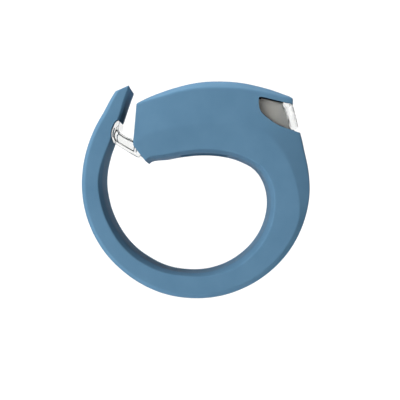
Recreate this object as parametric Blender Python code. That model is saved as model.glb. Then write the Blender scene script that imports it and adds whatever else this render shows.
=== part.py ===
"""Silicone strap safety light: a coin-cell LED light in a silicone skin whose strap closes on a hook.

Lengths are millimetres up to the last step, which scales every mesh to metres. The bar that the strap
closes on runs along Y through the origin, +Z is up and +X is the way the light shines. Every long
piece follows the ring: its edges are curves of radius over angle about the bar, and a section is a
ladder whose rungs run from -y to +y. The head is at 13 to 131 degrees, the strap goes on from there
through 0 and -90 degrees to the pull tab at -243 degrees.
"""
import math

import bmesh
import bpy
from mathutils import Matrix, Vector

MM = 0.001

# Driving dimensions
HALF_WIDTH = 12.8         # half of the strap's and the head's width
BULGE_DEPTH = 2.0         # the inner face bulges over this much of the width at each side
SKIN = 1.0                # silicone wall round the light
FIT = 0.15                # silicone to housing, and housing to what it holds
SHELL = 0.8               # clear housing wall
SEAL = 0.5                # height of the seal ring
CROWN_INSET = 6.5         # where the crown starts, in from the side
HEAD_LEAN = 1.3           # how far the head's side leans in, from crease to shoulder
STRAP_CHAMFER = 0.7       # the same on the strap, where it is only a chamfer
LINK_GAP = 0.3            # between two links of the strap
CLEARANCE = 0.3           # round anything that moves or pokes through

CELL_RADIUS = 10.0        # two coin cells 20 mm across
CELL_HEIGHT = 2.5
CELL_X = 1.75
CELL_Z = 13.65            # underside of the lower cell
CELL_GAP = 0.2

BOARD_Z = 19.2            # underside of the circuit board
BOARD_THICK = 0.6

LED_Z = 16.7              # height of the LEDs' axes

BUTTON_X = 4.6            # middle of the press area on the crown
PAD_RADIUS = 3.6
PAD_THICK = 0.6
BOSS_RADIUS = 1.2         # boss under the press area, down to the button
BOSS_LOW = 23.6

UNDERSIDE_X = (-1.9, 6.4)  # opening in the skin under the housing
UNDERSIDE_HALF = 9.5

HOOK_HALF_WIDTH = 10.3
NOSE_HALF_WIDTH = 3.8
EYELET_HALF_WIDTH = 4.3

# Edges of the ring: (degrees, radius)
INNER_EDGE = (
    (132.6, 12.85), (129, 12.9), (115, 11.75), (98, 11.4), (80, 11.8), (64, 12.7), (44, 14.35),
    (36, 15.15), (28, 15.65), (19, 15.75), (9, 15.5), (-16, 14.6), (-43, 13.45), (-71, 12.3),
    (-97, 11.9), (-128, 12.85), (-147, 13.95), (-167, 15.3), (-185, 16.9), (-199, 18.35),
    (-216, 19.6), (-222, 20.3), (-232, 22.15), (-238, 24.0), (-243.6, 26.15),
)
BULGE = (
    (133, 0.35), (120, 0.6), (100, 0.66), (80, 0.72), (60, 0.75), (40, 0.72), (24, 0.88), (6, 0.78),
    (-12, 0.9), (-30, 1.04), (-45, 1.06), (-60, 0.9), (-75, 0.72), (-90, 0.6), (-108, 0.65),
    (-122, 0.82), (-142, 1.0), (-160, 0.98), (-180, 0.88), (-198, 0.78), (-208, 0.5), (-218, 0.2),
    (-232, 0.3), (-244, 0.5),
)
CREASE = (
    (131.6, 16.5), (125, 16.55), (116, 16.4), (104, 15.9), (87, 16.3), (71, 17.3), (57, 18.9),
    (46, 19.85), (36, 20.1), (26, 20.1), (15, 19.95), (6, 19.95), (-5, 19.75), (-20, 18.6),
    (-40, 17.15), (-61, 15.95), (-89, 15.25), (-116, 15.4), (-138, 16.15), (-159, 17.45),
    (-175, 18.7), (-197, 20.7), (-213, 22.3), (-222, 23.3), (-229, 24.1), (-239.1, 26.3),
)
SHOULDER = (
    (118, 22.65), (107, 22.3), (100, 22.45), (87, 23.15), (76, 23.9), (63, 25.4), (57, 26.35),
    (52, 27.3), (48.5, 28.15), (47.0, 27.5), (38, 25.25), (33, 24.4), (28, 23.68), (19, 22.88),
    (9, 22.08), (-5, 20.84), (-20, 19.56), (-40, 18.02), (-61, 16.82), (-89, 16.0), (-116, 16.12),
    (-138, 16.8), (-159, 18.1), (-175, 19.35), (-197, 21.35), (-213, 22.95), (-222, 23.95),
    (-229, 24.8), (-237.6, 26.5),
)
CROWN_RISE = (
    (118, 0.25), (107, 0.9), (96, 1.1), (77, 1.45), (64, 1.3), (52, 0.8), (47, 0.15), (38, 0.1),
    (20, 0.12), (-240, 0.12),
)

# Where the edges end on the head's left face: degrees, and degrees less per millimetre of wall
LEFT_INNER, LEFT_INNER_STEP = 132.6, 5.2
LEFT_CREASE, LEFT_CREASE_STEP = 131.6, 4.45
LEFT_TOP, LEFT_TOP_STEP = 117.1, 1.65
SHEAR_FROM = 60.0         # sections lean over from here to the left face
RIGHT_END = 38.0          # lower right end of the space for the light
RIGHT_STEP = 3.2          # degrees per millimetre of wall there

# The strap's links: degrees of the hinges, and how far each opens
HINGES = (13.6, -21.6, -63.7, -111.4, -156.6, -194.5, -208.7)
TAB_FROM = -215.0         # sections of the tab lean over from here
TAB_INNER_END, TAB_CREASE_END, TAB_OUTER_END = -243.4, -239.1, -237.6

LINK_STEP = 6.0           # degrees between sections
HEAD_STEP = 5.5
VISOR = (47.0, 48.5, 50.2, 52.0)  # sections at the corner of the visor over the lens
PLATE_SHORT = 2.5         # degrees that the base and the seal stop short of the left face

# Outlines in X and Z
WINDOW = ((12.75, 21.4), (12.4, 20.8), (12.4, 19.9), (12.65, 18.85), (13.55, 17.85), (15.0, 16.75),
          (16.4, 15.95), (18.3, 15.3), (19.6, 14.85), (25.0, 13.2), (25.0, 19.2), (18.6, 20.1),
          (15.6, 20.75))
HOOK = ((-8.7, 12.75), (-8.7, 14.1), (-11.1, 13.6), (-12.9, 14.45), (-13.5, 14.9), (-13.7, 15.7),
        (-13.45, 16.7), (-13.85, 17.0), (-14.45, 16.35), (-14.88, 15.3), (-15.0, 14.2),
        (-14.75, 13.2), (-14.2, 12.6), (-10.5, 10.35), (-9.7, 10.35), (-9.25, 11.4))
HOOK_EXIT = ((-13.0, 8.5), (-10.2, 9.9), (-9.35, 10.05), (-8.6, 11.2), (-8.0, 14.6), (-11.1, 14.0),
             (-13.0, 15.2))
CATCH = ((-12.5, 17.9), (-13.6, 17.6), (-14.4, 16.9), (-14.95, 16.0), (-15.2, 15.2),
         (-15.3, 14.1), (-15.0, 12.9), (-14.5, 12.2), (-13.2, 11.9))
REFLECTOR = ((13.1, 14.9), (16.4, 15.0), (17.5, 15.9), (17.5, 16.8), (16.5, 18.2), (15.4, 19.3),
             (13.1, 19.9))
EYELET_AT = (-15.6, 15.2)
OUTWARD = (-0.947, 0.322)  # out of the strap at the eyelet
NOSE_LENGTH, NOSE_HEIGHT = 2.6, 1.8
EYELET_LENGTH, EYELET_HEIGHT, EYELET_RAISE = 9.0, 4.2, 0.45

COLOURS = {
    "silicone": ((0.117, 0.242, 0.381, 1), 0.55, 0.0),
    "clear": ((0.80, 0.83, 0.84, 1), 0.08, 0.0),
    "black_plastic": ((0.02, 0.022, 0.025, 1), 0.4, 0.0),
    "seal": ((0.03, 0.03, 0.035, 1), 0.7, 0.0),
    "board": ((0.01, 0.10, 0.03, 1), 0.35, 0.0),
    "silver": ((0.75, 0.74, 0.72, 1), 0.25, 1.0),
    "steel": ((0.60, 0.60, 0.60, 1), 0.30, 1.0),
    "brass": ((0.72, 0.52, 0.22, 1), 0.30, 1.0),
    "led": ((0.85, 0.84, 0.74, 1), 0.15, 0.0),
    "ceramic": ((0.45, 0.32, 0.20, 1), 0.5, 0.0),
}


# Curves and sections

def edge(knots, degrees):
    """Radius at an angle, on a smooth curve through the knots (cubic Hermite, angles falling)."""
    last = len(knots) - 1
    at = next((i for i in range(last) if degrees >= knots[i + 1][0]), last - 1)
    (a0, r0), (a1, r1) = knots[at], knots[at + 1]

    def slope(i):
        low, high = knots[max(i - 1, 0)], knots[min(i + 1, last)]
        return (high[1] - low[1]) / (high[0] - low[0])

    span = a1 - a0
    t = (degrees - a0) / span
    rise = (r1 - r0) * t * t * (3 - 2 * t)
    return r0 + rise + span * t * (1 - t) * (slope(at) * (1 - t) - slope(at + 1) * t)


def polar(radius, degrees):
    angle = math.radians(degrees)
    return radius * math.cos(angle), radius * math.sin(angle)


def blend(degrees, start, end):
    """0 at the start angle and 1 at the end angle, with a straight run between."""
    return min(max((degrees - start) / (end - start), 0.0), 1.0)


def leaned(degrees, start, end, edge_end):
    """The angle of one edge in a section that leans so that the edge ends at edge_end."""
    return degrees + blend(degrees, start, end) * (edge_end - end)


def inner_face(degrees):
    """Radius of the inner face away from its edges."""
    return edge(INNER_EDGE, degrees) - edge(BULGE, degrees)


def side_lean(degrees):
    return STRAP_CHAMFER + (HEAD_LEAN - STRAP_CHAMFER) * blend(degrees, 10, 36)


def head_section(degrees, wall=0.0, inner_rise=None):
    """Rungs (x, z, half width) of the head, shrunk by a wall; inner_rise moves the lowest rung."""
    inner_at = leaned(degrees, SHEAR_FROM, LEFT_CREASE, LEFT_INNER - LEFT_INNER_STEP * wall)
    crease_at = leaned(degrees, SHEAR_FROM, LEFT_CREASE, LEFT_CREASE - LEFT_CREASE_STEP * wall)
    top_at = leaned(degrees, SHEAR_FROM, LEFT_CREASE, LEFT_TOP - LEFT_TOP_STEP * wall)
    half = HALF_WIDTH - wall
    inner = inner_face(inner_at)
    shoulder = edge(SHOULDER, top_at) - wall
    rungs = [
        (*polar(edge(CREASE, crease_at), crease_at), half),
        (*polar(shoulder, top_at), half - side_lean(degrees)),
        (*polar(shoulder + edge(CROWN_RISE, top_at), top_at), HALF_WIDTH - CROWN_INSET),
    ]
    if wall == 0:
        rungs.insert(0, (*polar(edge(INNER_EDGE, inner_at), inner_at), half))
        rungs.insert(0, (*polar(inner, inner_at), half - BULGE_DEPTH))
    else:
        rise = wall if inner_rise is None else inner_rise
        rungs.insert(0, (*polar(inner + rise, inner_at), half))
    return rungs


def plate_section(degrees, wall, low, high):
    """Rungs of a plate that follows the head's underside between two heights above it."""
    end = LEFT_INNER - LEFT_INNER_STEP * wall - PLATE_SHORT
    at = leaned(degrees, SHEAR_FROM, LEFT_CREASE, end)
    return [(*polar(inner_face(at) + rise, at), HALF_WIDTH - wall) for rise in (low, high)]


def strap_section(degrees):
    inner_at = leaned(degrees, TAB_FROM, TAB_OUTER_END, TAB_INNER_END)
    crease_at = leaned(degrees, TAB_FROM, TAB_OUTER_END, TAB_CREASE_END)
    shoulder = edge(SHOULDER, degrees)
    half, lean = HALF_WIDTH, side_lean(degrees)
    return [
        (*polar(inner_face(inner_at), inner_at), half - BULGE_DEPTH),
        (*polar(edge(INNER_EDGE, inner_at), inner_at), half),
        (*polar(edge(CREASE, crease_at), crease_at), half),
        (*polar(shoulder, degrees), half - lean),
        (*polar(shoulder + edge(CROWN_RISE, degrees), degrees), half - CROWN_INSET),
    ]


def angles(start, end, step):
    """Evenly spaced angles from start to end, about a step apart."""
    count = max(round(abs(end - start) / step), 1)
    return [start + (end - start) * i / count for i in range(count + 1)]


# Objects and meshes

def material(name):
    if name in bpy.data.materials:
        return bpy.data.materials[name]
    colour, roughness, metallic = COLOURS[name]
    made = bpy.data.materials.new(name)
    made.use_nodes = True
    shader = made.node_tree.nodes["Principled BSDF"]
    shader.inputs["Base Color"].default_value = colour
    shader.inputs["Roughness"].default_value = roughness
    shader.inputs["Metallic"].default_value = metallic
    made.diffuse_color = colour
    return made


def add_object(name, bm, material_name, smooth=False):
    """A mesh object from a bmesh in millimetres, with its faces pointing out."""
    bmesh.ops.recalc_face_normals(bm, faces=bm.faces)
    bm.transform(Matrix.Scale(MM, 4))
    mesh = bpy.data.meshes.new(name)
    bm.to_mesh(mesh)
    bm.free()
    if smooth:
        mesh.shade_smooth()
        mesh.set_sharp_from_angle(angle=math.radians(35))
    made = bpy.data.objects.new(name, mesh)
    bpy.context.collection.objects.link(made)
    if material_name:
        mesh.materials.append(material(material_name))
    return made


def cutter(made):
    made.hide_render = True
    made.display_type = "WIRE"
    return made


def cut(target, tool, operation="DIFFERENCE"):
    modifier = target.modifiers.new(tool.name, "BOOLEAN")
    modifier.operation = operation
    modifier.solver = "EXACT"
    modifier.object = cutter(tool)


def ladder(name, sections, material_name=None):
    """A closed body through sections of rungs: sides between rungs, and the ends closed rung to rung."""
    bm = bmesh.new()
    rails = [[(bm.verts.new((x, -half, z)), bm.verts.new((x, half, z))) for x, z, half in rungs]
             for rungs in sections]
    for here, there in zip(rails, rails[1:]):
        for side in (0, 1):
            for low in range(len(here) - 1):
                bm.faces.new((here[low][side], there[low][side],
                              there[low + 1][side], here[low + 1][side]))
        for rung in (0, -1):
            bm.faces.new((here[rung][0], here[rung][1], there[rung][1], there[rung][0]))
    for end in (rails[0], rails[-1]):
        for low, high in zip(end, end[1:]):
            bm.faces.new((low[0], low[1], high[1], high[0]))
    return add_object(name, bm, material_name)


def prism(name, outline, half_width, material_name=None, y=0.0):
    """An outline in X and Z, extruded along Y."""
    bm = bmesh.new()
    near = [bm.verts.new((x, y - half_width, z)) for x, z in outline]
    far = [bm.verts.new((x, y + half_width, z)) for x, z in outline]
    bm.faces.new(near)
    bm.faces.new(far)
    for i in range(len(near)):
        j = (i + 1) % len(near)
        bm.faces.new((near[i], near[j], far[j], far[i]))
    return add_object(name, bm, material_name)


def box(name, low, high, material_name=None):
    outline = ((low[0], low[2]), (high[0], low[2]), (high[0], high[2]), (low[0], high[2]))
    return prism(name, outline, (high[1] - low[1]) / 2, material_name, (low[1] + high[1]) / 2)


def turned(name, profile, centre, material_name=None, along="Z", segments=32):
    """A closed profile of (radius, height) turned about an axis through centre, along Z or X."""
    bm = bmesh.new()
    points = [bm.verts.new((radius, 0, height)) for radius, height in profile]
    edges = [bm.edges.new((points[i], points[(i + 1) % len(points)])) for i in range(len(points))]
    bmesh.ops.spin(bm, geom=points + edges, cent=(0, 0, 0), axis=(0, 0, 1),
                   angle=math.tau, steps=segments)
    bmesh.ops.remove_doubles(bm, verts=bm.verts, dist=0.0001)
    if along == "X":
        bm.transform(Matrix.Rotation(math.pi / 2, 4, "Y"))
    bm.transform(Matrix.Translation(centre))
    return add_object(name, bm, material_name, smooth=True)


def disc(name, radius, low, high, centre_xy, material_name=None, segments=32):
    profile = ((0, low), (radius, low), (radius, high), (0, high))
    return turned(name, profile, (*centre_xy, 0), material_name, segments=segments)


def slanted_box(name, centre, outward, length, height, half_width, material_name=None):
    """A box in X and Z whose length runs along outward."""
    along = Vector(outward).normalized()
    across = Vector((along.y, -along.x))
    corners = ((-1, -1), (1, -1), (1, 1), (-1, 1))
    outline = [Vector(centre) + along * (length / 2 * a) + across * (height / 2 * b)
               for a, b in corners]
    return prism(name, outline, half_width, material_name)


# Silicone

def head_stops(start):
    """Angles of the head's sections: the same for every body from the corner of the visor on."""
    return [*angles(start, VISOR[0], HEAD_STEP), *VISOR[1:-1],
            *angles(VISOR[-1], LEFT_CREASE, HEAD_STEP)]


def head_body(name, wall, start, material_name=None, inner_rise=None):
    sections = [head_section(stop, wall, inner_rise) for stop in head_stops(start)]
    return ladder(name, sections, material_name)


def right_end(wall):
    return RIGHT_END + RIGHT_STEP * (wall - SKIN)


def make_skin():
    """The sleeve round the light, with the strap's root: hollow, and open for what shows through it."""
    start = HINGES[0] + hinge_gap(0)
    skin = head_body("silicone_skin", 0.0, start, "silicone")
    cut(skin, head_body("skin_hollow", SKIN, RIGHT_END))
    cut(skin, prism("skin_lens_window", WINDOW, HALF_WIDTH + 1))
    cut(skin, prism("skin_hook_exit", HOOK_EXIT, HOOK_HALF_WIDTH + CLEARANCE))
    low, high = UNDERSIDE_X
    cut(skin, box("skin_underside_window", (low, -UNDERSIDE_HALF, 9), (high, UNDERSIDE_HALF, 13.2)))
    cut(skin, disc("skin_pad_hole", PAD_RADIUS + CLEARANCE, 20, 27, (BUTTON_X, 0)))
    return skin


def hinge_gap(index):
    """Half of the gap at a hinge, in degrees."""
    return math.degrees(LINK_GAP / 2 / edge(INNER_EDGE, HINGES[index]))


def hinge_point(index):
    """The pivot of a hinge, on the outer face of the strap."""
    at = HINGES[index]
    x, z = polar(edge(SHOULDER, at) + edge(CROWN_RISE, at), at)
    return Vector((x, 0, z))


def make_strap():
    """The strap as links that hinge on its outer face; the last one is the end with the tab."""
    links = []
    for index, at in enumerate(HINGES):
        start = at - hinge_gap(index)
        last = index == len(HINGES) - 1
        end = TAB_OUTER_END if last else HINGES[index + 1] + hinge_gap(index + 1)
        name = "strap_end" if last else f"strap_link_{index + 1}"
        sections = [strap_section(stop) for stop in angles(start, end, LINK_STEP)]
        links.append(ladder(name, sections, "silicone"))
    strap_end = links[-1]
    cut(strap_end, prism("strap_catch", CATCH, HALF_WIDTH + 1))
    raised = (EYELET_AT[0] + OUTWARD[1] * EYELET_RAISE, EYELET_AT[1] - OUTWARD[0] * EYELET_RAISE)
    cut(strap_end, slanted_box("strap_eyelet", raised, OUTWARD, EYELET_LENGTH, EYELET_HEIGHT,
                               EYELET_HALF_WIDTH))
    return links


def crown_height(x):
    """Height of the crown over a place on the X axis."""
    low, high = 50.0, 110.0
    for _ in range(30):
        middle = (low + high) / 2
        if polar(edge(SHOULDER, middle) + edge(CROWN_RISE, middle), middle)[0] > x:
            low = middle
        else:
            high = middle
    return x * math.tan(math.radians(low))


def make_button_pad():
    """The part of the skin over the button, with the boss that pushes the button under it."""
    bm = bmesh.new()
    segments, rings = 32, (1.3, 2.5, PAD_RADIUS)
    layers = []
    for depth in (0.0, PAD_THICK):
        layer = [[bm.verts.new((BUTTON_X, 0, crown_height(BUTTON_X) - depth))]]
        for radius in rings:
            ring = []
            for step in range(segments):
                angle = math.tau * step / segments
                x, y = BUTTON_X + radius * math.cos(angle), radius * math.sin(angle)
                ring.append(bm.verts.new((x, y, crown_height(x) - depth)))
            layer.append(ring)
        layers.append(layer)
    for layer in layers:
        for step in range(segments):
            after = (step + 1) % segments
            bm.faces.new((layer[0][0], layer[1][step], layer[1][after]))
            for inside, outside in zip(layer[1:], layer[2:]):
                bm.faces.new((inside[step], outside[step], outside[after], inside[after]))
    for step in range(segments):
        after = (step + 1) % segments
        bm.faces.new((layers[0][-1][step], layers[0][-1][after],
                      layers[1][-1][after], layers[1][-1][step]))
    pad = add_object("button_pad", bm, "silicone", smooth=True)
    boss_top = crown_height(BUTTON_X) - PAD_THICK / 2
    cut(pad, disc("pad_boss", BOSS_RADIUS, BOSS_LOW, boss_top, (BUTTON_X, 0), segments=16), "UNION")
    return pad


# Housing

def make_lens_housing():
    """The clear cover: lens at the right, hook at the lower left, open below."""
    wall = SKIN + FIT
    foot = wall + SHELL + FIT + SEAL + FIT
    housing = head_body("lens_housing", wall, right_end(wall), "clear", foot)
    lens = prism("lens_block", drawn_in(WINDOW, CLEARANCE), HALF_WIDTH + 1)
    cut(lens, head_body("lens_face", 0.35, right_end(wall)), "INTERSECT")
    cut(housing, lens, "UNION")
    cut(housing, prism("hook", HOOK, HOOK_HALF_WIDTH), "UNION")
    cut(housing, slanted_box("hook_nose", EYELET_AT, OUTWARD, NOSE_LENGTH, NOSE_HEIGHT,
                             NOSE_HALF_WIDTH), "UNION")
    inside = wall + SHELL
    cut(housing, head_body("housing_hollow", inside, right_end(inside), inner_rise=wall))
    cut(housing, disc("housing_button_hole", 2.1, 21, 26, (BUTTON_X, 0), segments=24))
    return housing


def drawn_in(outline, distance):
    """An outline, given clockwise or not, with every edge moved inwards by a distance."""
    points = [Vector(corner) for corner in outline]
    before, after = points[-1:] + points[:-1], points[1:] + points[:1]
    area = sum(here.cross(there) for here, there in zip(points, after))
    inwards = math.copysign(distance, area)
    moved = []
    for last, here, there in zip(before, points, after):
        along = (here - last).normalized(), (there - here).normalized()
        normals = [Vector((-edge_run.y, edge_run.x)) for edge_run in along]
        between = (normals[0] + normals[1]).normalized()
        moved.append(here + between * inwards / between.dot(normals[0]))
    return moved


def make_base():
    """The black floor of the housing, with a raised block that shows through the skin."""
    wall = SKIN + FIT
    stops = angles(right_end(wall), LEFT_CREASE, HEAD_STEP)
    sections = [plate_section(stop, wall, wall, wall + SHELL) for stop in stops]
    base = ladder("base_plate", sections, "black_plastic")
    low, high = UNDERSIDE_X[0] + CLEARANCE, UNDERSIDE_X[1] - CLEARANCE
    half = UNDERSIDE_HALF - CLEARANCE
    cut(base, box("base_block", (low, -half, 11.35), (high, half, 12.6)), "UNION")
    return base


def make_seal():
    wall = SKIN + FIT
    low = wall + SHELL + FIT
    stops = angles(right_end(wall), LEFT_CREASE, HEAD_STEP)
    sections = [plate_section(stop, wall, low, low + SEAL) for stop in stops]
    seal = ladder("seal_ring", sections, "seal")
    inside = wall + SHELL
    stops = angles(right_end(inside), LEFT_CREASE, HEAD_STEP)
    hollow = [plate_section(stop, inside, low - 1, low + SEAL + 1) for stop in stops]
    cut(seal, ladder("seal_hollow", hollow))
    return seal


# What the housing holds

def make_cells():
    for index, name in enumerate(("coin_cell_lower", "coin_cell_upper")):
        low = CELL_Z + index * (CELL_HEIGHT + CELL_GAP)
        high = low + CELL_HEIGHT
        radius, rim = CELL_RADIUS, CELL_RADIUS - 1.2
        profile = ((0, low), (rim, low), (rim, low + 0.3), (radius, low + 0.3),
                   (radius, high - 0.15), (radius - 0.15, high), (0, high))
        turned(name, profile, (CELL_X, 0, 0), "steel", segments=48)


def make_contacts():
    """Sprung strips: one under the lower cell, one on the upper cell's side, both to the board."""
    floor = CELL_Z - 0.3
    top = BOARD_Z - 0.2
    negative = box("contact_negative", (-5.8, -9.1, floor), (-5.5, -8.1, top), "brass")
    cut(negative, box("negative_tongue", (-5.8, -9.0, floor), (-1.5, -8.2, floor + 0.2)), "UNION")
    positive = box("contact_positive", (-5.8, 8.1, CELL_Z + 3.2), (-5.5, 9.1, top), "brass")
    cut(positive, box("positive_tongue", (-5.8, 8.2, top - 0.2), (-4.2, 9.0, top)), "UNION")


def make_board():
    top = BOARD_Z + BOARD_THICK
    box("circuit_board", (-4.0, -8.4, BOARD_Z), (11.9, 8.4, top), "board")
    rest = top + 0.1
    box("microcontroller", (-1.6, -5.2, rest), (1.4, -2.2, rest + 0.7), "black_plastic")
    box("resistor", (-1.2, 2.6, rest), (0.4, 3.4, rest + 0.45), "black_plastic")
    box("capacitor", (-1.2, 4.4, rest), (0.8, 5.6, rest + 0.7), "ceramic")
    return rest


def make_leds():
    """A small upright board with two LEDs that shine along +X through two bowls."""
    box("led_board", (12.3, -8.6, 14.6), (12.9, 8.6, 19.6), "board")
    reflector = prism("reflector", REFLECTOR, 9.2, "silver")
    for side, y in (("near", -4.6), ("far", 4.6)):
        profile = ((0, -1), (1.15, -1), (1.15, 1.6), (1.5, 5.5), (0, 5.5))
        cut(reflector, turned(f"bowl_{side}", profile, (13.1, y, LED_Z), along="X", segments=24))
        body = ((0, 0), (0.95, 0), (0.95, 0.9), (0, 0.9))
        turned(f"led_{side}", body, (13.15, y, LED_Z), "led", along="X", segments=24)
        arc = [(0.8 * math.cos(math.radians(a)), 0.8 * math.sin(math.radians(a)))
               for a in range(0, 91, 15)]
        turned(f"led_lens_{side}", [(0, 0)] + arc, (14.2, y, LED_Z), "clear", along="X", segments=24)


def make_switch(rest):
    """A tact switch: case, snap dome and plunger, and the button that passes through the housing."""
    at = (BUTTON_X, 0)
    case = box("switch_case", (at[0] - 2.3, -2.3, rest), (at[0] + 2.3, 2.3, rest + 0.95),
               "black_plastic")
    cut(case, disc("switch_pocket", 1.6, rest + 0.2, rest + 2, at, segments=24))
    dome = [(1.3 * math.cos(turn), 0.3 * math.sin(turn))
            for turn in map(math.radians, (0, 30, 60, 90))]
    dome += [(max(radius - 0.12, 0), max(height - 0.1, 0)) for radius, height in reversed(dome)]
    turned("switch_dome", dome, (*at, rest + 0.3), "steel", segments=24)
    disc("switch_plunger", 1.2, rest + 0.75, rest + 1.45, at, "black_plastic", segments=24)
    flange = rest + 1.6
    profile = ((0, flange), (2.7, flange), (2.7, flange + 0.4), (1.8, flange + 0.4),
               (1.8, 23.45), (0, 23.45))
    turned("button_cap", profile, (*at, 0), "black_plastic", segments=24)


# Joints: each moving piece hangs under an empty on its joint's axis

def add_pivot(name, place, parent=None):
    pivot = bpy.data.objects.new(name, None)
    bpy.context.collection.objects.link(pivot)
    pivot.parent = parent
    offset = parent.matrix_world.translation if parent else Vector((0, 0, 0))
    pivot.location = place * MM - offset
    bpy.context.view_layer.update()
    return pivot


def hang(made, pivot):
    """Put a piece under a pivot without moving it: its mesh is measured from the pivot."""
    place = pivot.matrix_world.translation
    made.data.transform(Matrix.Translation(-place))
    made.parent = pivot


def add_joints(links):
    pivot = None
    for index, link in enumerate(links):
        pivot = add_pivot(f"strap_pivot_{index + 1}", hinge_point(index), pivot)
        hang(link, pivot)
    button = add_pivot("button_slide", Vector((BUTTON_X, 0, crown_height(BUTTON_X))))
    for name in ("button_pad", "button_cap", "switch_plunger"):
        hang(bpy.data.objects[name], button)


def main():
    for old in list(bpy.data.objects):
        bpy.data.objects.remove(old)
    make_skin()
    links = make_strap()
    make_button_pad()
    make_lens_housing()
    make_base()
    make_seal()
    make_cells()
    make_contacts()
    rest = make_board()
    make_leds()
    make_switch(rest)
    add_joints(links)


main()
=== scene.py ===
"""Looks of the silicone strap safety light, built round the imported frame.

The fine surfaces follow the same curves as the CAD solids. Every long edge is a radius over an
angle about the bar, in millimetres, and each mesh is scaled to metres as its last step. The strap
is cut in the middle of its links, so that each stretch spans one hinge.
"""
import math

import bmesh
import bpy
from mathutils import Matrix, Vector


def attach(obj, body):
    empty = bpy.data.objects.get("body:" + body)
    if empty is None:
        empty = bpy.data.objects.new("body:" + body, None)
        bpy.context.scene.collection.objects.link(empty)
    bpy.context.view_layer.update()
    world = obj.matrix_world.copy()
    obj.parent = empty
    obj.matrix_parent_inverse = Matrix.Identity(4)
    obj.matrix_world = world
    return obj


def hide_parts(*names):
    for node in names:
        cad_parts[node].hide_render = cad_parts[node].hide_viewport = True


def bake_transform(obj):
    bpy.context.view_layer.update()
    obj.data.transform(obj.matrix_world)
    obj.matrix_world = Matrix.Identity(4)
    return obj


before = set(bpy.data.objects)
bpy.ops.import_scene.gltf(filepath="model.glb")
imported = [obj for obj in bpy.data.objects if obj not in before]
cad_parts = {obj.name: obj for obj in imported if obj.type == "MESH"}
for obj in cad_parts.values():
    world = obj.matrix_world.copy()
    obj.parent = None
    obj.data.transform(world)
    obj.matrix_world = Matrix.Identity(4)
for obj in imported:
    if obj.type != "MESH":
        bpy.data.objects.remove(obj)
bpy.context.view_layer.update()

MM = 0.001

# The object's driving dimensions in millimetres, as the CAD has them
HALF_WIDTH = 12.8
BULGE_DEPTH = 2.0         # the inner face bulges over this much of the width at each side
CROWN_INSET = 6.5         # from each side to the full height of the crown
HEAD_LEAN = 1.3           # how far the head's side leans in between crease and shoulder
STRAP_CHAMFER = 0.7       # the same at the strap
SKIN = 1.0                # wall of the silicone sleeve
SHELL = 0.8               # wall of the clear housing, and thickness of the base plate
FIT = 0.15                # gap between parts
SEAL = 0.5                # thickness of the seal ring
BUTTON_X = 4.6
PAD_RADIUS, PAD_THICK = 3.6, 0.6
BOSS_RADIUS, BOSS_LOW = 1.2, -0.85    # the boss under the press area, down from the crown
HOOK_HALF_WIDTH = 10.3
NOSE_HALF_WIDTH, NOSE_LENGTH, NOSE_HEIGHT = 3.8, 2.6, 1.8
EYELET_HALF_WIDTH, EYELET_HEIGHT, EYELET_RAISE = 4.3, 4.2, 0.45
LED_X, LED_Y, LED_Z = 13.15, 4.6, 16.7
BOWL_X = 13.1             # where the reflector's bowls start
REFLECTOR_WALL = 1.6      # from the head's outer faces down to the reflector
REFLECTOR_TOP_HALF = 9.9  # half the width of its flat top
POCKET_HALF = 8.9         # half the width of the LED board's pocket in it

# Edges of the ring, as (degrees, radius). The side meets the inner face at INNER_EDGE, starts to
# lean in at CREASE and meets the crown at SHOULDER. BULGE and CROWN_RISE are the heights of the
# inner face and of the crown over those edges, as (degrees, height).
INNER_EDGE = (
    (132.6, 12.85), (129, 12.9), (115, 11.75), (98, 11.4), (80, 11.8), (64, 12.7), (44, 14.35),
    (36, 15.15), (28, 15.65), (19, 15.75), (9, 15.5), (-16, 14.6), (-43, 13.45), (-71, 12.3),
    (-97, 11.9), (-128, 12.85), (-147, 13.95), (-167, 15.3), (-185, 16.9), (-199, 18.35),
    (-216, 19.6), (-222, 20.3), (-232, 22.15), (-238, 24.0), (-243.6, 26.15),
)
BULGE = (
    (133, 0.35), (120, 0.6), (100, 0.66), (80, 0.72), (60, 0.75), (40, 0.72), (24, 0.88), (6, 0.78),
    (-12, 0.9), (-30, 1.04), (-45, 1.06), (-60, 0.9), (-75, 0.72), (-90, 0.6), (-108, 0.65),
    (-122, 0.82), (-142, 1.0), (-160, 0.98), (-180, 0.88), (-198, 0.78), (-208, 0.5), (-218, 0.2),
    (-232, 0.3), (-244, 0.5),
)
CREASE = (
    (131.6, 16.5), (125, 16.55), (116, 16.4), (104, 15.9), (87, 16.3), (71, 17.3), (57, 18.9),
    (46, 19.85), (36, 20.1), (26, 20.1), (15, 19.95), (6, 19.95), (-5, 19.75), (-20, 18.6),
    (-40, 17.15), (-61, 15.95), (-89, 15.25), (-116, 15.4), (-138, 16.15), (-159, 17.45),
    (-175, 18.7), (-197, 20.7), (-213, 22.3), (-222, 23.3), (-229, 24.1), (-239.1, 26.3),
)
SHOULDER = (
    (118, 22.65), (107, 22.3), (100, 22.45), (87, 23.15), (76, 23.9), (63, 25.4), (57, 26.35),
    (52, 27.3), (48.5, 28.15), (47.0, 27.5), (38, 25.25), (33, 24.4), (28, 23.68), (19, 22.88),
    (9, 22.08), (-5, 20.84), (-20, 19.56), (-40, 18.02), (-61, 16.82), (-89, 16.0), (-116, 16.12),
    (-138, 16.8), (-159, 18.1), (-175, 19.35), (-197, 21.35), (-213, 22.95), (-222, 23.95),
    (-229, 24.8), (-237.6, 26.5),
)
CROWN_RISE = (
    (118, 0.25), (107, 0.9), (96, 1.1), (77, 1.45), (64, 1.3), (52, 0.8), (47, 0.15), (38, 0.1),
    (20, 0.12), (-240, 0.12),
)

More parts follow.
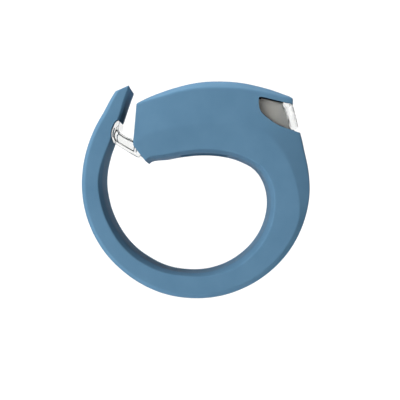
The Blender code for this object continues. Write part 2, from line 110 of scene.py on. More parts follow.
# The ends of the head and of the strap, in degrees. Each STEP is how far an end draws back for a
# millimetre of wall.
LEFT_INNER, LEFT_INNER_STEP = 132.8, 5.2
LEFT_CREASE, LEFT_CREASE_STEP = 131.8, 4.45
LEFT_TOP, LEFT_TOP_STEP = 117.3, 1.65
SHEAR_FROM = 60.0         # the head's sections lean towards its left end from here on
RIGHT_END, RIGHT_STEP = 38.0, 3.2
HEAD_FULL, HEAD_GONE = 36.0, 10.0     # the head's section turns into the strap's between these
HINGES = (13.6, -21.6, -63.7, -111.4, -156.6, -194.5, -208.7)
ROOT_FROM = 30.0          # start of the strap's root
END_SEAM = -214.5         # cut between the last stretch and the strap's end
TAB_FROM = -215.0         # the strap's sections lean towards the tab's end from here on
TAB_INNER_END, TAB_CREASE_END, TAB_OUTER_END = -243.8, -239.4, -237.8

# Outlines in X and Z
WINDOW = ((12.75, 21.4), (12.4, 20.8), (12.4, 19.9), (12.65, 18.85), (13.55, 17.85), (15.0, 16.75),
          (16.4, 15.95), (18.3, 15.3), (19.6, 14.85), (25.0, 13.2), (25.0, 19.2), (18.6, 20.1),
          (15.6, 20.75))
HOOK = ((-8.7, 12.75), (-8.7, 14.1), (-11.1, 13.6), (-12.9, 14.45), (-13.5, 14.9), (-13.7, 15.7),
        (-13.45, 16.7), (-13.85, 17.0), (-14.45, 16.35), (-14.88, 15.3), (-15.0, 14.2),
        (-14.75, 13.2), (-14.2, 12.6), (-10.5, 10.35), (-9.7, 10.35), (-9.25, 11.4))
HOOK_RECESS = ((-10.95, 11.45), (-10.75, 12.9), (-12.6, 13.75), (-13.6, 14.35), (-14.0, 15.1),
               (-14.35, 14.6), (-14.4, 13.9), (-14.1, 13.3))
HOOK_EXIT = ((-13.0, 8.7), (-10.25, 10.1), (-9.5, 10.15), (-8.7, 11.2), (-8.0, 14.3),
             (-11.1, 13.8), (-13.0, 14.7))
REFLECTOR_TOP = ((12.7, 17.0), (12.7, 20.7), (12.95, 20.92), (15.6, 20.3), (19.0, 19.55),
                 (19.0, 17.0))
REFLECTOR_ENDS = ((12.2, 14.0), (18.5, 14.0), (18.0, 15.7), (17.4, 17.4), (16.8, 19.2),
                  (16.5, 23.0), (12.2, 23.0))
BOARD_POCKET = ((10.0, 10.0), (13.05, 10.0), (13.05, 19.9), (10.0, 19.9))
EYELET_AT = (-15.6, 15.2)
OUTWARD = (-0.947, 0.322)             # the way the nose and the eyelet point

# Edges and gaps of the fine surfaces, in millimetres
STRAP_RADII = (1.2, 0.2, 0.2, 0.25, 2.2)   # of a section's corners, from the inner face outwards
HEAD_RADII = (1.2, 0.2, 0.45, 0.4, 2.2)
WALL_RADII = (0.3, 0.5, 0.5, 2.0)          # of the forms inside the skin, which don't bulge
SKIN_END = (0.9, 0.22)                # degrees and radius over which the sleeve's end is rounded
TAB_END = (-0.6, 0.2)                 # the same at the tab's end, where angles run the other way
WINDOW_FLARE, WINDOW_FLARE_DEPTH = 0.12, 0.8
LENS_GAP = 0.1                        # between the lens and the window's edge
LENS_SET_BACK = 0.12                  # between the skin's face and the lens's face
HOOK_EDGE, NOSE_EDGE, NOSE_CORNER = 0.12, 0.3, 0.5
RECESS_DEPTH, RECESS_SLANT = 0.7, 0.25
CATCH_GAP = 0.08
PAD_GAP, PAD_LIP = 0.16, 0.22
BUTTON_HOLE = 2.1                     # radius

# How finely the surfaces are divided
FINE_STEP = 1.5           # degrees between sections of the silicone
SHELL_STEP = 3.0          # the same for the forms inside it
VISOR_SPAN = (45.6, 51.0)             # the sections are closer here, round the visor's corner
VISOR_STOPS = (46.2, 46.6, 47.0, 47.4, 47.8, 48.2, 48.6, 49.0, 49.5, 50.2)
CORNER_STEPS = 4          # facets round a corner
CORNER_SHARE = 0.4        # of a side, the most that the rounding of its corner may take
CORNER_SUPPORT = 0.08     # how far along the side lies the point that keeps its flat flat
ROUND_SEGMENTS = 64       # of the press area and its hole
SHARP, CLEAR_SHARP = 38, 30           # degrees from which an edge is sharp; less for clear plastic
BEND_SHARE = 0.92         # of the way from a hinge to the nearer seam, at which the end points of its bend are found


# Curves and sections

def edge(knots, degrees):
    """Radius at an angle, on a smooth curve through the knots (cubic Hermite, angles falling)."""
    last = len(knots) - 1
    at = next((i for i in range(last) if degrees >= knots[i + 1][0]), last - 1)
    (a0, r0), (a1, r1) = knots[at], knots[at + 1]

    def slope(i):
        low, high = knots[max(i - 1, 0)], knots[min(i + 1, last)]
        return (high[1] - low[1]) / (high[0] - low[0])

    span = a1 - a0
    t = (degrees - a0) / span
    rise = (r1 - r0) * t * t * (3 - 2 * t)
    return r0 + rise + span * t * (1 - t) * (slope(at) * (1 - t) - slope(at + 1) * t)


def polar(radius, degrees, y=0.0):
    angle = math.radians(degrees)
    return Vector((radius * math.cos(angle), y, radius * math.sin(angle)))


def share(value, start, end):
    """0 at start and 1 at end, with a straight run between."""
    return min(max((value - start) / (end - start), 0.0), 1.0)


def leaned(degrees, start, end, edge_end):
    """The angle of one edge in a section that leans so that the edge ends at edge_end."""
    return degrees + share(degrees, start, end) * (edge_end - end)


def edge_angles(degrees, wall):
    """Angles of the inner edge, the crease and the shoulder in one section."""
    if degrees < 0:
        inner = leaned(degrees, TAB_FROM, TAB_OUTER_END, TAB_INNER_END)
        return inner, leaned(degrees, TAB_FROM, TAB_OUTER_END, TAB_CREASE_END), degrees
    ends = (LEFT_INNER - LEFT_INNER_STEP * wall, LEFT_CREASE - LEFT_CREASE_STEP * wall,
            LEFT_TOP - LEFT_TOP_STEP * wall)
    return tuple(leaned(degrees, SHEAR_FROM, LEFT_CREASE, end) for end in ends)


def corners(degrees, wall, inner_rise):
    """Half a section's corners and their radii, from the inner face's middle to the crown's."""
    inner_at, crease_at, top_at = edge_angles(degrees, wall)
    head = share(degrees, HEAD_GONE, HEAD_FULL)
    half = HALF_WIDTH - wall
    inner = edge(INNER_EDGE, inner_at)
    low = inner - edge(BULGE, inner_at)
    crease = edge(CREASE, crease_at)
    shoulder = edge(SHOULDER, top_at) - wall
    crown = shoulder + edge(CROWN_RISE, top_at)
    lean = STRAP_CHAMFER + (HEAD_LEAN - STRAP_CHAMFER) * head
    outer = [polar(crease, crease_at, half), polar(shoulder, top_at, half - lean),
             polar(crown, top_at, HALF_WIDTH - CROWN_INSET), polar(crown, top_at)]
    if wall:
        low += wall if inner_rise is None else inner_rise
        return [polar(low, inner_at), polar(low, inner_at, half)] + outer, WALL_RADII
    sides = [polar(low, inner_at), polar(low, inner_at, half - BULGE_DEPTH),
             polar(inner, inner_at, half)]
    return sides + outer, [a + (b - a) * head for a, b in zip(STRAP_RADII, HEAD_RADII)]


def section_path(points, radii):
    """A path with its corners rounded, and a point beside each rounding."""
    path = [points[0]]
    for before, corner, after, radius in zip(points, points[1:], points[2:], radii):
        back, on = before - corner, after - corner
        start = corner + back.normalized() * min(radius, CORNER_SHARE * back.length)
        end = corner + on.normalized() * min(radius, CORNER_SHARE * on.length)
        path.append(start.lerp(before, CORNER_SUPPORT))
        for step in range(CORNER_STEPS + 1):
            t = step / CORNER_STEPS
            path.append(start.lerp(corner, t).lerp(corner.lerp(end, t), t))
        path.append(end.lerp(after, CORNER_SUPPORT))
    return path + [points[-1]]


def loop(degrees, wall=0.0, inset=0.0, inner_rise=None):
    """A closed section, mirrored over y = 0 and drawn in by an inset."""
    points, radii = corners(degrees, wall, inner_rise)
    half = section_path(points, radii)
    middle = (points[0] + points[-1]) / 2
    height = (points[-1] - points[0]).length
    along, across = 1 - 2 * inset / height, 1 - inset / HALF_WIDTH
    half = [Vector((middle.x + (p.x - middle.x) * along, p.y * across,
                    middle.z + (p.z - middle.z) * along)) for p in half]
    mirrored = [Vector((p.x, -p.y, p.z)) for p in reversed(half[1:-1])]
    return half + mirrored


def angles(start, end, step):
    count = max(math.ceil(abs(end - start) / step), 1)
    return [start + (end - start) * i / count for i in range(count + 1)]


def rounded_end(degrees, back, radius):
    """The last sections before an end face, drawn in step by step to round its edge."""
    loops = []
    for turn in (30, 60, 90):
        angle = math.radians(turn)
        loops.append(loop(degrees - back * (1 - math.sin(angle)),
                          inset=radius * (1 - math.cos(angle))))
    return loops


# Meshes

def add_object(name, bm):
    """An object from a bmesh in millimetres, smooth but for its sharp edges."""
    bmesh.ops.recalc_face_normals(bm, faces=bm.faces)
    bm.transform(Matrix.Scale(MM, 4))
    mesh = bpy.data.meshes.new(name)
    bm.to_mesh(mesh)
    bm.free()
    made = bpy.data.objects.new(name, mesh)
    bpy.context.collection.objects.link(made)
    smooth(made)
    return made


def smooth(made, sharp=SHARP):
    made.data.shade_smooth()
    made.data.set_sharp_from_angle(angle=math.radians(sharp))


def settle(made):
    """Replace an object's mesh by what its modifiers make of it."""
    bpy.context.view_layer.update()
    graph = bpy.context.evaluated_depsgraph_get()
    mesh = bpy.data.meshes.new_from_object(made.evaluated_get(graph))
    made.modifiers.clear()
    made.data = mesh


def carve(target, tool, operation="DIFFERENCE"):
    modifier = target.modifiers.new("carve", "BOOLEAN")
    modifier.operation = operation
    modifier.solver = "EXACT"
    modifier.object = tool
    settle(target)
    bpy.data.objects.remove(tool)


def finish_normals(made, sharp=SHARP):
    """Sharp edges by angle, and normals weighted by area so that flats stay flat."""
    smooth(made, sharp)
    modifier = made.modifiers.new("normals", "WEIGHTED_NORMAL")
    modifier.keep_sharp = True
    settle(made)


def cap(bm, ring):
    """Close an end from side to side; the points along a straight rung all go into one face."""
    count = len(ring)
    half = count // 2

    def level(a, b):
        return math.hypot(ring[a].co.x - ring[b].co.x, ring[a].co.z - ring[b].co.z) < 1e-5

    low = next(i for i in range(half) if not level(0, i + 1))
    high = next(i for i in range(half, 0, -1) if not level(half, i - 1))
    for i in range(low, high):
        below = [ring[-i], ring[i]]
        above = [ring[i + 1], ring[-i - 1]]
        if i == low:
            below = [ring[k] for k in range(-i, i + 1)]
        if i + 1 == high:
            above = ring[high:count - high + 1]
        bm.faces.new(below + above)


def bridge(bm, rings):
    """Faces from each ring to the next, of equal counts; a ring may repeat one vertex."""
    for here, there in zip(rings, rings[1:]):
        for i in range(len(here)):
            j = (i + 1) % len(here)
            around = list(dict.fromkeys((here[i], here[j], there[j], there[i])))
            if len(around) > 2:
                bm.faces.new(around)


def loft(name, loops):
    """A closed body through mirrored loops of equal count."""
    bm = bmesh.new()
    rings = [[bm.verts.new(point) for point in ring] for ring in loops]
    bridge(bm, rings)
    cap(bm, rings[0])
    cap(bm, rings[-1])
    return add_object(name, bm)


def closed_tube(name, rings):
    """A closed body through rings of points of equal count, with flat ends."""
    bm = bmesh.new()
    rings = [[bm.verts.new(point) for point in ring] for ring in rings]
    bridge(bm, rings)
    bm.faces.new(rings[0])
    bm.faces.new(rings[-1])
    return add_object(name, bm)


def outline_offset(outline, distance):
    """A polygon moved along its corners' normals, outwards when the distance is positive."""
    points = [Vector(p) for p in outline]
    area = sum(a.x * b.y - b.x * a.y for a, b in zip(points, points[1:] + points[:1]))
    turn = 1 if area > 0 else -1
    moved = []
    for before, here, after in zip(points[-1:] + points[:-1], points, points[1:] + points[:1]):
        normals = [Vector(((b - a).y, -(b - a).x)).normalized() * turn
                   for a, b in ((before, here), (here, after))]
        between = (normals[0] + normals[1]).normalized()
        reach = distance / max(between.dot(normals[0]), 0.5)
        moved.append(here + between * reach)
    return moved


def smooth_outline(outline, steps, sharp):
    """A Catmull-Rom curve through a closed outline's points, straight between two sharp ones."""
    points = [Vector(p) for p in outline]
    count = len(points)
    curve = []
    for i in range(count):
        p0, p1, p2, p3 = (points[(i + k) % count] for k in (-1, 0, 1, 2))
        ends = (i in sharp, (i + 1) % count in sharp)
        if all(ends):
            curve.append(p1)
            continue
        m1 = (p2 - p1) if ends[0] else (p2 - p0) / 2
        m2 = (p2 - p1) if ends[1] else (p3 - p1) / 2
        for step in range(steps):
            t = step / steps
            curve.append((2 * t**3 - 3 * t**2 + 1) * p1 + (t**3 - 2 * t**2 + t) * m1
                         + (3 * t**2 - 2 * t**3) * p2 + (t**3 - t**2) * m2)
    return curve


def stack(name, levels):
    """A closed body through outlines in X and Z, each at its own y."""
    return closed_tube(name, [[(p[0], y, p[1]) for p in outline] for y, outline in levels])


def both_ends(name, outline, end):
    """A body along Y from an outline and one end's (y, grow) steps, from the outside inwards."""
    levels = [(-y, outline_offset(outline, grow)) for y, grow in end]
    levels += [(y, outline_offset(outline, grow)) for y, grow in reversed(end)]
    return stack(name, levels)


def soft_prism(name, outline, half_width, radius=0.0):
    """An outline in X and Z, extruded along Y, with the edges of its ends rounded."""
    if not radius:
        return both_ends(name, outline, [(half_width, 0)])
    end = [(half_width, -1.3 * radius)]
    for turn in (0, 30, 60, 90):
        angle = math.radians(turn)
        end.append((half_width - radius * (1 - math.cos(angle)), -radius * (1 - math.sin(angle))))
    return both_ends(name, outline, end)


def flared_prism(name, outline, half_width, flare, depth):
    """A cutter through both sides that widens over its last depth and so leaves a chamfer."""
    end = ((half_width + flare, 2 * flare), (half_width - depth / 2, flare / 2),
           (half_width - depth, 0))
    return both_ends(name, outline, end)


def turned(name, profile, centre, along="Z", segments=48):
    """A closed profile of (radius, height) turned about an axis through centre, along Z or X."""
    bm = bmesh.new()
    rings = []
    for radius, height in profile:
        if radius:
            around = [math.tau * step / segments for step in range(segments)]
            rings.append([bm.verts.new((radius * math.cos(angle), radius * math.sin(angle), height))
                          for angle in around])
        else:
            rings.append([bm.verts.new((0, 0, height))] * segments)
    bridge(bm, rings + rings[:1])
    if along == "X":
        bm.transform(Matrix.Rotation(math.pi / 2, 4, "Y"))
    bm.transform(Matrix.Translation(centre))
    return add_object(name, bm)


def slanted(centre, outward, length, height, corner):
    """The outline of a box in X and Z whose length runs along outward, with rounded corners."""
    along = Vector(outward).normalized()
    across = Vector((along.y, -along.x))
    outline = []
    for a, b, start in ((1, 1, 0), (-1, 1, 90), (-1, -1, 180), (1, -1, 270)):
        middle = (Vector(centre) + along * a * (length / 2 - corner)
                  + across * b * (height / 2 - corner))
        for turn in (0, 30, 60, 90):
            angle = math.radians(start + turn)
            outline.append(middle + (along * math.cos(angle) + across * math.sin(angle)) * corner)
    return outline


def crown_height(x):
    """Height of the crown over a place on the X axis."""
    low, high = 50.0, 110.0
    for _ in range(30):
        middle = (low + high) / 2
        if polar(edge(SHOULDER, middle) + edge(CROWN_RISE, middle), middle).x > x:
            low = middle
        else:
            high = middle
    return x * math.tan(math.radians(low))


# Materials

class Nodes:
    """Short names for making a material's nodes."""

    def __init__(self, name):
        self.material = bpy.data.materials.new(name)
        self.material.use_nodes = True
        self.tree = self.material.node_tree
        self.shader = self.tree.nodes["Principled BSDF"]
        self.place = self.tree.nodes.new("ShaderNodeTexCoord").outputs["Object"]

    def set(self, **values):
        for name, value in values.items():
            self.shader.inputs[name.replace("_", " ")].default_value = value

    def link(self, source, name):
        self.tree.links.new(source, self.shader.inputs[name])

    def noise(self, scale, detail, stretch=None):
        node = self.tree.nodes.new("ShaderNodeTexNoise")
        node.inputs["Scale"].default_value = scale
        node.inputs["Detail"].default_value = detail
        node.inputs["Roughness"].default_value = 0.55
        place = self.place
        if stretch:
            mapping = self.tree.nodes.new("ShaderNodeMapping")
            mapping.inputs["Scale"].default_value = stretch
            self.tree.links.new(place, mapping.inputs["Vector"])
            place = mapping.outputs["Vector"]
        self.tree.links.new(place, node.inputs["Vector"])
        return node.outputs["Fac"]

    def ramp(self, factor, stops):
        node = self.tree.nodes.new("ShaderNodeValToRGB")
        elements = node.color_ramp.elements
        for element, (at, colour) in zip(elements, (stops[0], stops[-1])):
            element.position, element.color = at, colour
        for at, colour in stops[1:-1]:
            elements.new(at).color = colour
        self.tree.links.new(factor, node.inputs["Fac"])
        return node.outputs["Color"]

    def between(self, factor, low, high):
        node = self.tree.nodes.new("ShaderNodeMapRange")
        node.inputs["To Min"].default_value = low
        node.inputs["To Max"].default_value = high
        self.tree.links.new(factor, node.inputs["Value"])
        return node.outputs["Result"]

    def along(self, axis, start, end):
        """0 to 1 along an axis of the object, in metres."""
        split = self.tree.nodes.new("ShaderNodeSeparateXYZ")
        self.tree.links.new(self.place, split.inputs["Vector"])
        node = self.tree.nodes.new("ShaderNodeMapRange")
        node.inputs["From Min"].default_value = start
        node.inputs["From Max"].default_value = end
        self.tree.links.new(split.outputs[axis], node.inputs["Value"])
        return node.outputs["Result"]

    def times(self, colour, factor):
        node = self.tree.nodes.new("ShaderNodeVectorMath")
        node.operation = "SCALE"
        self.tree.links.new(colour, node.inputs[0])
        self.tree.links.new(factor, node.inputs["Scale"])
        return node.outputs["Vector"]

    def bump(self, height, strength, distance):
        node = self.tree.nodes.new("ShaderNodeBump")
        node.inputs["Strength"].default_value = strength
        node.inputs["Distance"].default_value = distance
        self.tree.links.new(height, node.inputs["Height"])
        return node.outputs["Normal"]


def grey(value):
    return (value, value, value, 1)


def silicone_material():
    nodes = Nodes("silicone")
    tone = nodes.noise(160, 3)
    nodes.link(nodes.ramp(tone, [(0.3, (0.089, 0.190, 0.295, 1)), (0.7, (0.102, 0.211, 0.322, 1))]),
               "Base Color")
    nodes.link(nodes.between(nodes.noise(900, 5), 0.68, 0.84), "Roughness")
    nodes.link(nodes.bump(nodes.noise(9000, 3), 0.12, 0.00004), "Normal")
    nodes.set(Specular_IOR_Level=0.06)
    return nodes.material


def clear_material():
    nodes = Nodes("clear_polycarbonate")
    nodes.set(Transmission_Weight=1.0, IOR=1.5)
    nodes.link(nodes.between(nodes.noise(700, 4), 0.015, 0.06), "Roughness")
    nodes.link(nodes.bump(nodes.noise(350, 2), 0.08, 0.0002), "Normal")
    nodes.link(nodes.ramp(nodes.noise(120, 2), [(0.3, (0.82, 0.83, 0.825, 1)),
                                                (0.7, (0.90, 0.905, 0.895, 1))]), "Base Color")
    return nodes.material


def plastic_material(name, dark, light, rough=(0.35, 0.5)):
    nodes = Nodes(name)
    nodes.link(nodes.ramp(nodes.noise(300, 4), [(0.35, dark), (0.65, light)]), "Base Color")
    nodes.link(nodes.between(nodes.noise(1200, 4), *rough), "Roughness")
    nodes.link(nodes.bump(nodes.noise(6000, 3), 0.15, 0.00005), "Normal")
    return nodes.material


def metal_material(name, dark, light, stretch=(1, 1, 1)):
    nodes = Nodes(name)
    nodes.set(Metallic=1.0)
    nodes.link(nodes.ramp(nodes.noise(500, 4, stretch=stretch), [(0.3, dark), (0.7, light)]),
               "Base Color")
    nodes.link(nodes.between(nodes.noise(1500, 4, stretch=stretch), 0.18, 0.32), "Roughness")
    nodes.link(nodes.bump(nodes.noise(4000, 3, stretch=stretch), 0.1, 0.00003), "Normal")
    return nodes.material


def reflector_material():
    """Metallised plastic, with painted light: its colour is painted brighter towards the front."""
    nodes = Nodes("metallised_plastic")
    tone = nodes.between(nodes.noise(250, 3), 0.9, 1.0)
    # painted light: the colour ramps from beige-grey to near white along X, standing in for light
    # falling on the reflector's front
    front = nodes.along("X", 0.0125, 0.0178)
    colour = nodes.ramp(front, [(0.0, (0.86, 0.82, 0.77, 1)), (0.5, (0.98, 0.95, 0.90, 1)),
                                (1.0, (1.0, 0.99, 0.96, 1))])
    nodes.link(nodes.times(colour, tone), "Base Color")
    nodes.link(nodes.between(nodes.noise(1500, 4), 0.4, 0.55), "Roughness")
    nodes.link(nodes.bump(nodes.noise(4000, 3, stretch=(1, 1, 0.1)), 0.1, 0.00003), "Normal")
    return nodes.material


def make_materials():
    return {
        "silicone": silicone_material(),
        "clear": clear_material(),
        "black": plastic_material("black_plastic", grey(0.012), grey(0.022)),
        "seal": plastic_material("seal_rubber", grey(0.02), grey(0.035), (0.55, 0.7)),
        "board": plastic_material("solder_mask", (0.006, 0.07, 0.025, 1), (0.01, 0.10, 0.035, 1),
                                  (0.2, 0.35)),
        "silver": reflector_material(),
        "steel": metal_material("steel", grey(0.5), grey(0.62), stretch=(1, 12, 1)),
        "brass": metal_material("brass", (0.6, 0.42, 0.18, 1), (0.75, 0.55, 0.26, 1)),
        "led": plastic_material("led_ceramic", (0.75, 0.72, 0.62, 1), (0.85, 0.83, 0.75, 1),
                                (0.3, 0.45)),
        "phosphor": plastic_material("led_phosphor", (0.80, 0.66, 0.10, 1), (0.88, 0.76, 0.2, 1),
                                     (0.25, 0.4)),
        "ceramic": plastic_material("ceramic", (0.35, 0.24, 0.14, 1), (0.48, 0.34, 0.22, 1)),
    }


def dress(made, material):
    made.data.materials.clear()
    made.data.materials.append(material)


# Silicone

def head_body(name, wall, end, inner_rise=None):
    """The head's form drawn in by a wall, and by another one at its inner face."""
    stops = angles(end, LEFT_CREASE, SHELL_STEP)
    return loft(name, [loop(stop, wall, inner_rise=inner_rise) for stop in stops])


def right_end(wall):
    """Angle at which the head's form ends at the right, drawn in by a wall."""
    return RIGHT_END + RIGHT_STEP * (wall - SKIN)


def seams():
    """Angles where the strap is cut: the middle of the root and of each link, and past the last."""
    stops = [(HINGES[0] + ROOT_FROM) / 2]
    stops += [(a + b) / 2 for a, b in zip(HINGES, HINGES[1:])]
    return stops + [END_SEAM]


def skin_stops(start, end):
    """Angles of the skin's sections: evenly spaced, and closer round the corner of the visor."""
    low, high = VISOR_SPAN
    even = [stop for stop in angles(start, end, FINE_STEP) if not low < stop < high]
    return sorted(even + list(VISOR_STOPS))


def make_skin(materials, first_seam):
    """The sleeve round the light, open for the lens, the hook, the base and the press area."""
    back, radius = SKIN_END
    loops = [loop(stop) for stop in skin_stops(first_seam, LEFT_CREASE - back)]
    skin = loft("skin_sleeve", loops + rounded_end(LEFT_CREASE, back, radius))
    carve(skin, head_body("hollow", SKIN, RIGHT_END))
    carve(skin, flared_prism("window", window_outline(), HALF_WIDTH, WINDOW_FLARE,
                             WINDOW_FLARE_DEPTH))
    exit_outline = smooth_outline(HOOK_EXIT, 2, sharp=(0, 6))
    carve(skin, soft_prism("hook_exit", exit_outline, HOOK_HALF_WIDTH + FIT))
    carve(skin, underside_window())
    carve(skin, pad_hole())
    finish_normals(skin)
    dress(skin, materials["silicone"])
    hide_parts("silicone_skin")
    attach(skin, "root")


def window_outline():
    return smooth_outline(WINDOW, 3, sharp=(9, 10))


def pad_hole():
    """The hole for the press area, with a lip that opens towards the crown."""
    hole, top = PAD_RADIUS + PAD_GAP, crown_height(BUTTON_X)
    below, above = 20, top + 0.5
    profile = ((0, below), (hole, below), (hole, top - PAD_LIP), (hole + 0.07, top - 0.1),
               (hole + PAD_LIP, top), (hole + 3 * PAD_LIP, above), (0, above))
    return turned("pad_hole", profile, (BUTTON_X, 0, 0), segments=ROUND_SEGMENTS)


def underside_window():
    """A rectangle with rounded corners, cut up through the inner face, and wider at its mouth."""
    middle, half_x, half_y, corner = 2.25, 4.15, 9.5, 1.2
    rings = []
    for z, grow in ((8.5, 0.9), (10.9, 0.25), (11.2, 0.0), (13.3, 0.0)):
        ring = []
        for sx, sy, start in ((1, 1, 0), (-1, 1, 90), (-1, -1, 180), (1, -1, 270)):
            for turn in (0, 22, 45, 67, 90):
                angle = math.radians(start + turn)
                x = middle + sx * (half_x - corner) + (corner + grow) * math.cos(angle)
                y = sy * (half_y - corner) + (corner + grow) * math.sin(angle)
                ring.append((x, y, z))
        rings.append(ring)
    return closed_tube("underside", rings)


def mid_line(degrees):
    """A point on the strap's mid-line, in metres."""
    return polar((edge(INNER_EDGE, degrees) + edge(SHOULDER, degrees)) / 2, degrees) * MM


def make_strap(materials, stops):
    """Stretches between the seams, each spanning one hinge."""
    for index in range(len(HINGES)):
        start, end = stops[index], stops[index + 1]
        piece = loft(f"strap_stretch_{index + 1}",
                     [loop(stop) for stop in angles(start, end, FINE_STEP)])
        finish_normals(piece)
        dress(piece, materials["silicone"])
        if index < len(HINGES) - 1:
            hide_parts(f"strap_link_{index + 1}")
        hinge = HINGES[index]
        reach = BEND_SHARE * min(abs(hinge - start), abs(hinge - end))
        bend_start, bend_end = mid_line(hinge + reach), mid_line(hinge - reach)
        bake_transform(piece)


def make_strap_end(materials, start):
    """The end of the strap, with the catch for the hook, the eyelet and the pull tab."""
    back, radius = TAB_END
    loops = [loop(stop) for stop in angles(start, TAB_OUTER_END - back, FINE_STEP)]
    tab = loft("strap_tab", loops + rounded_end(TAB_OUTER_END, back, radius))
    catch = outline_offset(hook_outline(), CATCH_GAP)
    carve(tab, soft_prism("catch", catch, HALF_WIDTH + 1))
    raised = (EYELET_AT[0] + OUTWARD[1] * EYELET_RAISE, EYELET_AT[1] - OUTWARD[0] * EYELET_RAISE)
    carve(tab, eyelet_cutter(raised))
    finish_normals(tab)
    dress(tab, materials["silicone"])
    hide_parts("strap_end")
    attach(tab, "strap_end")


def eyelet_cutter(centre):
    """A slot with round ends that widens where it comes out of the strap."""
    along = Vector((OUTWARD[0], 0, OUTWARD[1])).normalized()
    across = Vector((-along.z, 0, along.x))
    middle = Vector((centre[0], 0, centre[1]))
    half_y, half_z = EYELET_HALF_WIDTH, EYELET_HEIGHT / 2
    steps = 8
    rings = []
    for depth, grow in ((-4.5, 0), (1.9, 0.0), (2.35, 0.12), (2.6, 0.3), (4.5, 1.9)):
        ring = []
        for side in (1, -1):
            for step in range(steps + 1):
                angle = math.pi * (step / steps - 0.5)
                y = side * (half_y - half_z + (half_z + grow) * math.cos(angle))
                z = side * (half_z + grow) * math.sin(angle)
                ring.append(middle + along * depth + across * z + Vector((0, y, 0)))
        rings.append(ring)
    return closed_tube("eyelet", rings)


def make_button_pad(materials):
    """The press area: a low dome with a rounded rim, and the boss under it."""
    top = 0.105
    profile = [(0.6, 0.10), (1.2, 0.095), (1.8, 0.08), (2.4, 0.055), (2.9, 0.03), (3.2, 0.0),
               (3.42, -0.03), (3.54, -0.1), (PAD_RADIUS, -0.22), (PAD_RADIUS, -PAD_THICK),
               (BOSS_RADIUS, -PAD_THICK), (BOSS_RADIUS, BOSS_LOW)]
    bm = bmesh.new()
    rings = []
    for radius, rise in profile:
        ring = []
        for step in range(ROUND_SEGMENTS):
            angle = math.tau * step / ROUND_SEGMENTS
            x, y = BUTTON_X + radius * math.cos(angle), radius * math.sin(angle)
            ring.append(bm.verts.new((x, y, crown_height(x) + rise)))
        rings.append(ring)
    bridge(bm, rings)
    for rise, ring in ((top, rings[0]), (BOSS_LOW, rings[-1])):
        centre = bm.verts.new((BUTTON_X, 0, crown_height(BUTTON_X) + rise))
        for here, there in zip(ring, ring[1:] + ring[:1]):
            bm.faces.new((centre, here, there))
    pad = add_object("press_pad", bm)
    finish_normals(pad)
    dress(pad, materials["silicone"])
    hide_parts("button_pad")
    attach(pad, "button")


# The clear housing

def hook_outline():
    return smooth_outline(HOOK, 5, sharp=(0, 1, 15))


def hook_recess(side):
    """A shallow hollow with slanting walls in one side of the hook."""
    levels = ((HOOK_HALF_WIDTH + 0.2, RECESS_SLANT), (HOOK_HALF_WIDTH - RECESS_DEPTH, 0.0))
    return stack("hook_recess",
                 [(side * y, outline_offset(HOOK_RECESS, grow)) for y, grow in levels])


def fine_head(name, wall, start):
    """The head's form drawn in by a wall, with the closer sections round the visor's corner."""
    return loft(name, [loop(stop, wall) for stop in skin_stops(start, LEFT_CREASE)])


def make_housing(materials):
    """The clear cover with the lens and the hook, hollow for what it holds."""
    wall = SKIN + FIT
    foot = wall + SHELL + FIT + SEAL + FIT
    housing = head_body("clear_housing", wall, right_end(wall), inner_rise=foot)
    lens = soft_prism("lens", outline_offset(window_outline(), -LENS_GAP), HALF_WIDTH + 1)
    carve(lens, fine_head("lens_face", LENS_SET_BACK, right_end(wall)), "INTERSECT")
    carve(housing, lens, "UNION")
    hook = soft_prism("hook", hook_outline(), HOOK_HALF_WIDTH, HOOK_EDGE)
    for side in (-1, 1):
        carve(hook, hook_recess(side))
    carve(housing, hook, "UNION")
    nose = slanted(EYELET_AT, OUTWARD, NOSE_LENGTH, NOSE_HEIGHT, NOSE_CORNER)
    carve(housing, soft_prism("nose", nose, NOSE_HALF_WIDTH, NOSE_EDGE), "UNION")
    inside = wall + SHELL
    carve(housing, head_body("inside", inside, right_end(inside), inner_rise=wall))
    carve(housing, reflector_form("reflector_space", FIT))
    below, above = 21, 26
    profile = ((0, below), (BUTTON_HOLE, below), (BUTTON_HOLE, above), (0, above))
    carve(housing, turned("button_hole", profile, (BUTTON_X, 0, 0)))
    finish_normals(housing, CLEAR_SHARP)
    dress(housing, materials["clear"])
    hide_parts("lens_housing")
    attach(housing, "root")


def reflector_form(name, grow=0.0):
    """The end of the head's form with a flat top, from just behind the LED board forwards."""
    wall = REFLECTOR_WALL - grow
    form = fine_head(name, wall, right_end(wall))
    top = outline_offset(REFLECTOR_TOP, grow)
    carve(form, soft_prism("top", top, REFLECTOR_TOP_HALF + grow), "UNION")
    carve(form, soft_prism("ends", outline_offset(REFLECTOR_ENDS, grow), HALF_WIDTH), "INTERSECT")
    return form


def make_reflector(materials):
    """A bright moulding that fills the end of the housing, with a bowl round each LED."""
    bar = reflector_form("reflector_bar")
    carve(bar, soft_prism("board_pocket", BOARD_POCKET, POCKET_HALF))
    throat, throat_end, mouth, widening = 1.15, 1.2, 5.5, 0.9
    bowl = [(0, -1), (throat, -1), (throat, throat_end)]
    bowl += [(throat + widening * share(height, throat_end, mouth) ** 0.6, height)
             for height in (1.6, 2.2, 3.0, 4.0, mouth)]
    bowl.append((0, mouth))
    for y in (-LED_Y, LED_Y):
        carve(bar, turned("bowl", bowl, (BOWL_X, y, LED_Z), along="X"))
    finish_normals(bar, CLEAR_SHARP)
    dress(bar, materials["silver"])
    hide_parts("reflector")
    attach(bar, "root")


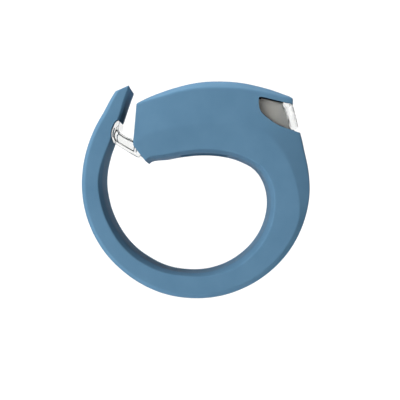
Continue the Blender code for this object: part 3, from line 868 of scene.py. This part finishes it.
def make_leds(materials):
    """Each LED: a cream base with a lip, and a phosphor spot under the CAD's clear dome."""
    base_profile = ((0, 0), (0.95, 0), (0.95, 0.62), (0.88, 0.78), (0.72, 0.84), (0.66, 0.74),
                    (0, 0.74))
    spot_profile = ((0, 0.76), (0.6, 0.76), (0.58, 0.84), (0.4, 0.9), (0, 0.92))
    for side, y in (("near", -LED_Y), ("far", LED_Y)):
        place = (LED_X, y, LED_Z)
        base = turned(f"led_base_{side}", base_profile, place, along="X", segments=40)
        dress(base, materials["led"])
        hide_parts(f"led_{side}")
        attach(base, "root")
        spot = turned(f"led_phosphor_{side}", spot_profile, place, along="X", segments=32)
        dress(spot, materials["phosphor"])
        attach(spot, "root")


def dress_frame(materials):
    """Finer materials for the CAD nodes that stay."""
    finishes = {
        "base_plate": "black", "seal_ring": "seal", "circuit_board": "board", "led_board": "board",
        "microcontroller": "black", "resistor": "black", "capacitor": "ceramic",
        "led_lens_near": "clear", "led_lens_far": "clear", "coin_cell_lower": "steel",
        "coin_cell_upper": "steel", "contact_negative": "brass", "contact_positive": "brass",
        "switch_case": "black", "switch_dome": "steel", "switch_plunger": "black",
        "button_cap": "black",
    }
    for node, finish in finishes.items():
        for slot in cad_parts[node].material_slots:
            slot.material = materials[finish]


# Stage, light and camera

def make_stage():
    """A pale floor that sweeps up into a backdrop, below and behind the light."""
    floor, back, front, bend, top, half_width = -60.0, 500.0, -900.0, 200.0, 900.0, 900.0
    profile = [(front, floor), (back - bend, floor)]
    for turn in range(10, 91, 10):
        angle = math.radians(turn)
        profile.append((back - bend + bend * math.sin(angle), floor + bend * (1 - math.cos(angle))))
    profile.append((back, top))
    bm = bmesh.new()
    rows = [[bm.verts.new((x, y, z)) for x in (-half_width, half_width)] for y, z in profile]
    for here, there in zip(rows, rows[1:]):
        bm.faces.new((here[0], here[1], there[1], there[0]))
    sweep = add_object("pale_floor", bm)
    nodes = Nodes("pale_floor")
    nodes.link(nodes.ramp(nodes.noise(8, 2), [(0.3, grey(0.9)), (0.7, grey(0.93))]), "Base Color")
    nodes.set(Roughness=0.9, Specular_IOR_Level=0.1)
    dress(sweep, nodes.material)


def area_light(name, place, target, size, power):
    data = bpy.data.lights.new(name, "AREA")
    data.shape = "DISK"
    data.size = size * MM
    data.energy = power
    light = bpy.data.objects.new(name, data)
    light.location = Vector(place) * MM
    aim = Vector(target) - Vector(place)
    light.rotation_euler = aim.to_track_quat("-Z", "Y").to_euler()
    bpy.context.collection.objects.link(light)


def make_light():
    """A softbox above, one at the front left, and two more that whiten the backdrop."""
    world = bpy.data.worlds.new("pale_room")
    world.use_nodes = True
    background = world.node_tree.nodes["Background"]
    background.inputs["Color"].default_value = (1, 1, 1, 1)
    background.inputs["Strength"].default_value = 0.08
    bpy.context.scene.world = world
    bpy.context.scene.view_settings.view_transform = "Standard"
    area_light("top_softbox", (-80, 30, 380), (0, 0, 0), 260, 1.9)
    area_light("front_softbox", (-420, -420, 200), (0, 0, 0), 240, 3.3)
    for side in (-1, 1):
        area_light("backdrop_light", (side * 260, 120, 140), (side * 40, 500, 0), 200, 0.4)


def make_camera():
    """Looks straight along +Y at the object's near side, from a little above the bar's axis."""
    data = bpy.data.cameras.new("camera")
    distance, seen = 390.0, 74.0          # to the near side, and the width in view there
    middle_x, middle_z = 1.48, 2.22       # what the picture's middle shows
    sensor = 36.0
    data.sensor_width = sensor
    data.lens = sensor * distance / seen
    data.clip_start, data.clip_end = 0.01, 10
    camera = bpy.data.objects.new("camera", data)
    camera.location = Vector((middle_x, -HALF_WIDTH - distance, middle_z)) * MM
    camera.rotation_euler = (math.pi / 2, 0, 0)
    bpy.context.collection.objects.link(camera)
    bpy.context.scene.camera = camera


def main():
    make_camera()
    materials = make_materials()
    stops = seams()
    make_skin(materials, stops[0])
    make_strap(materials, stops)
    make_strap_end(materials, stops[-1])
    make_button_pad(materials)
    make_housing(materials)
    make_reflector(materials)
    make_leds(materials)
    dress_frame(materials)
    make_stage()
    make_light()


main()
